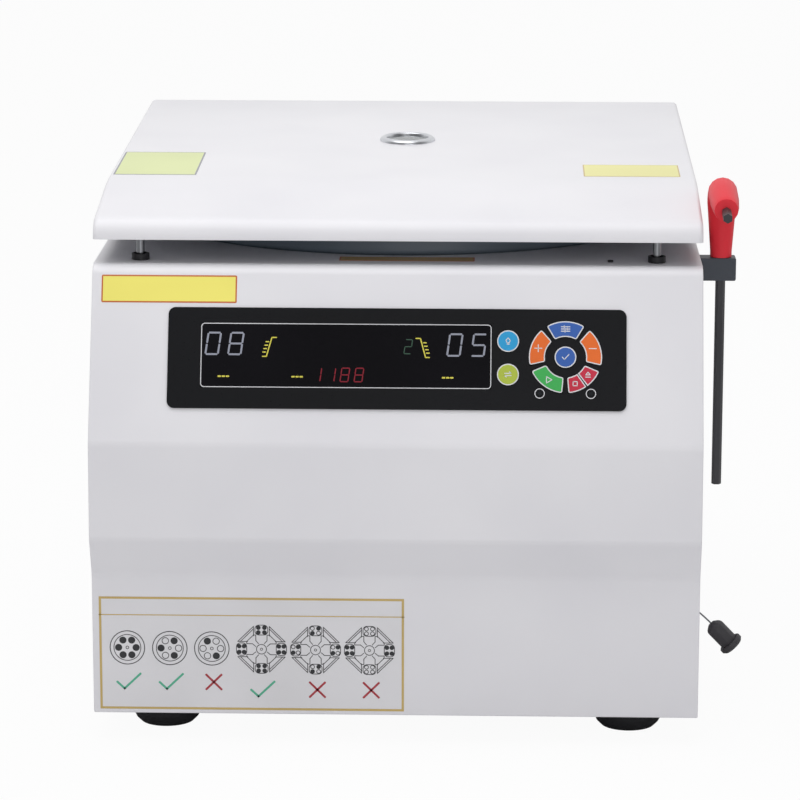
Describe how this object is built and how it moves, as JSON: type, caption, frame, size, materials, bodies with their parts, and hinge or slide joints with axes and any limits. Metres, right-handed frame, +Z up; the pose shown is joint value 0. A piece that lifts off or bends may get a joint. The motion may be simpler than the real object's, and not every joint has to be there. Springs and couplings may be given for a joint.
{
  "type": "high-speed benchtop centrifuge",
  "caption": "Boxy white benchtop centrifuge with a sloped control fascia, a lid hinged at the back and standing ajar over the rotor chamber, a side hex key and a pull-wire lid release.",
  "frame": {"origin": "middle of the stand at bench level, on the cabinet's left-right middle plane", "axes": "+X to the right of a person facing the controls, +Y to the back, +Z up"},
  "size_m": [0.4577, 0.506, 0.3849],
  "materials": {
    "body_white": "satin powder coat",
    "pan_grey": "satin paint",
    "bowl_steel": "spun stainless",
    "guard_steel": "painted",
    "bright_steel": "ground",
    "cast_alloy": "cast",
    "rotor_black": "hard anodised",
    "windings": "varnished",
    "black_plastic": "moulded",
    "black_rubber": "moulded",
    "liner_slate": "moulded",
    "overlay_black": "film",
    "display_smoke": "smoked",
    "key_sky": "film",
    "key_lime": "film",
    "key_blue": "film",
    "key_orange": "film",
    "key_green": "film",
    "key_red": "film",
    "lamp_clear": "clear",
    "board_green": "solder mask",
    "sight_glass": "clear",
    "sight_chrome": "polished",
    "hex_black": "black oxide",
    "grip_red": "moulded",
    "holder_slate": "satin paint",
    "wire_grey": "drawn wire"
  },
  "bodies": {
    "cabinet": {"front_fascia": "body_white", "left_panel": "body_white", "right_panel": "body_white", "rear_panel": "body_white", "top_deck": "body_white", "base_pan": "pan_grey", "chamber_bowl": "bowl_steel", "guard_ring": "guard_steel", "hinge_brackets": "bright_steel", "hinge_pins": "bright_steel", "latch_guides": "bright_steel", "shaft_bearings": "bright_steel", "foot_screws": "bright_steel", "motor_plate": "cast_alloy", "motor_housing": "cast_alloy", "motor_stator": "windings", "lock_solenoid": "windings", "pin_bushes": "black_plastic", "lid_sensor": "black_plastic", "power_inlet": "black_plastic", "fan_frame": "black_plastic", "release_socket": "black_plastic", "feet": "black_rubber", "motor_dampers": "black_rubber", "chamber_gasket": "black_rubber", "release_sheath": "black_rubber", "control_overlay": "overlay_black", "display_window": "display_smoke", "indicator_lights": "lamp_clear", "control_board": "board_green", "power_board": "board_green", "wrench_holder": "holder_slate"},
    "lid": {"lid_shell": "body_white", "lid_plate": "cast_alloy", "lid_liner": "liner_slate", "window_ring": "sight_chrome", "window_glass": "sight_glass", "lid_pins": "bright_steel", "lid_leaves": "bright_steel"},
    "rotor": {"drive_shaft": "bright_steel", "motor_core": "windings", "rotor_body": "rotor_black", "rotor_lid": "rotor_black"},
    "knob": {"rotor_knob": "black_plastic"},
    "latch": {"latch_bar": "bright_steel"},
    "fan": {"fan_rotor": "black_plastic"},
    "rocker": {"switch_rocker": "black_plastic"},
    "hex_key": {"wrench_shaft": "hex_black", "wrench_handle": "grip_red"},
    "release": {"release_wire": "wire_grey", "release_plug": "black_plastic"},
    "key_light": {"key_light": "key_sky"},
    "key_mode": {"key_mode": "key_lime"},
    "key_set": {"key_set": "key_blue"},
    "key_plus": {"key_plus": "key_orange"},
    "key_minus": {"key_minus": "key_orange"},
    "key_start": {"key_start": "key_green"},
    "key_stop": {"key_stop": "key_red"},
    "key_open": {"key_open": "key_red"},
    "key_enter": {"key_enter": "key_blue"}
  },
  "joints": [
    {"name": "lid_swing", "type": "hinge", "parent": "cabinet", "child": "lid", "pos_m": [0, 0.241, 0.3375], "axis": [-1, 0, 0], "range_deg": [-2.1, 75]},
    {"name": "rotor_spin", "type": "hinge", "parent": "cabinet", "child": "rotor", "pos_m": [0, 0.03691, 0.19], "axis": [0, 0, 1], "continuous": true},
    {"name": "knob_turn", "type": "hinge", "parent": "rotor", "child": "knob", "pos_m": [0, 0.03691, 0.26], "axis": [0, 0, 1], "continuous": true},
    {"name": "latch_slide", "type": "slide", "parent": "cabinet", "child": "latch", "axis": [1, 0, 0], "range_m": [-0.006, 0]},
    {"name": "release_pull", "type": "slide", "parent": "cabinet", "child": "release", "axis": [1, 0, 0], "range_m": [-0.006, 0]},
    {"name": "fan_spin", "type": "hinge", "parent": "cabinet", "child": "fan", "pos_m": [-0.11, 0.2348, 0.11], "axis": [0, 1, 0], "continuous": true},
    {"name": "rocker_tilt", "type": "hinge", "parent": "cabinet", "child": "rocker", "pos_m": [0.12, 0.247, 0.096], "axis": [-1, 0, 0], "range_deg": [0, 16]},
    {"name": "hex_key_lift", "type": "slide", "parent": "cabinet", "child": "hex_key", "axis": [0, 0, 1], "range_m": [0, 0.17]},
    {"name": "light_press", "type": "slide", "parent": "cabinet", "child": "key_light", "axis": [0, 0.9262, -0.377], "range_m": [0, 0.0005], "stiffness_N_per_m": 400},
    {"name": "mode_press", "type": "slide", "parent": "cabinet", "child": "key_mode", "axis": [0, 0.9262, -0.377], "range_m": [0, 0.0005], "stiffness_N_per_m": 400},
    {"name": "set_press", "type": "slide", "parent": "cabinet", "child": "key_set", "axis": [0, 0.9262, -0.377], "range_m": [0, 0.0005], "stiffness_N_per_m": 400},
    {"name": "plus_press", "type": "slide", "parent": "cabinet", "child": "key_plus", "axis": [0, 0.9262, -0.377], "range_m": [0, 0.0005], "stiffness_N_per_m": 400},
    {"name": "minus_press", "type": "slide", "parent": "cabinet", "child": "key_minus", "axis": [0, 0.9262, -0.377], "range_m": [0, 0.0005], "stiffness_N_per_m": 400},
    {"name": "start_press", "type": "slide", "parent": "cabinet", "child": "key_start", "axis": [0, 0.9262, -0.377], "range_m": [0, 0.0005], "stiffness_N_per_m": 400},
    {"name": "stop_press", "type": "slide", "parent": "cabinet", "child": "key_stop", "axis": [0, 0.9262, -0.377], "range_m": [0, 0.0005], "stiffness_N_per_m": 400},
    {"name": "open_press", "type": "slide", "parent": "cabinet", "child": "key_open", "axis": [0, 0.9262, -0.377], "range_m": [0, 0.0005], "stiffness_N_per_m": 400},
    {"name": "enter_press", "type": "slide", "parent": "cabinet", "child": "key_enter", "axis": [0, 0.9262, -0.377], "range_m": [0, 0.0005], "stiffness_N_per_m": 400}
  ],
  "couplings": [
    {"joint": "release_pull", "follows": "latch_slide", "ratio": 1}
  ]
}
